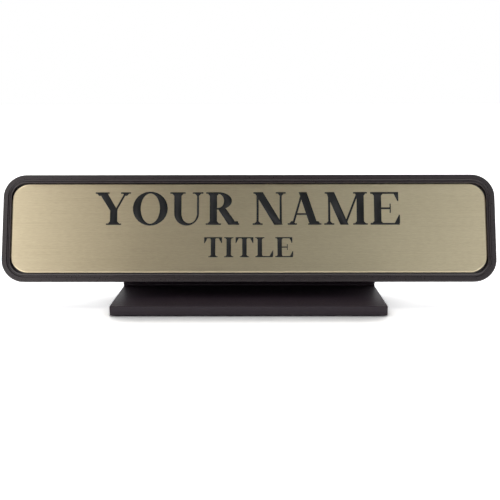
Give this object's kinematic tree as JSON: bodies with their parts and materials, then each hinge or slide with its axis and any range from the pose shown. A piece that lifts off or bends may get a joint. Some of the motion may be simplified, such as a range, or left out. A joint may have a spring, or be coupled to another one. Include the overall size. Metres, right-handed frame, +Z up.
{
  "type": "desk name plate",
  "caption": "Free-standing desk name plate: a brushed gold plate in a dark moulded frame with rounded corners, leaning back over the flat foot of a desk stand.",
  "frame": {"origin": "middle of the stand's footprint, on the desk", "axes": "+X across the plate to the reader's right, +Y away from the reader, +Z up"},
  "size_m": [0.2604, 0.0524, 0.0681],
  "materials": {
    "frame_plastic": "satin moulded, dark brown-black",
    "engraving_plate": "brushed, gold anodised",
    "mounting_tape": "white foam",
    "stand_plastic": "satin, dark brown-black",
    "screw_steel": "zinc plated",
    "foot_rubber": "matt black"
  },
  "bodies": {
    "root": {"bezel_frame": "frame_plastic", "name_insert": "engraving_plate", "insert_tape_upper": "mounting_tape", "insert_tape_lower": "mounting_tape", "desk_stand": "stand_plastic", "stand_screw_left": "screw_steel", "stand_screw_right": "screw_steel", "foot_front_left": "foot_rubber", "foot_front_right": "foot_rubber", "foot_rear_left": "foot_rubber", "foot_rear_right": "foot_rubber"}
  },
  "joints": []
}
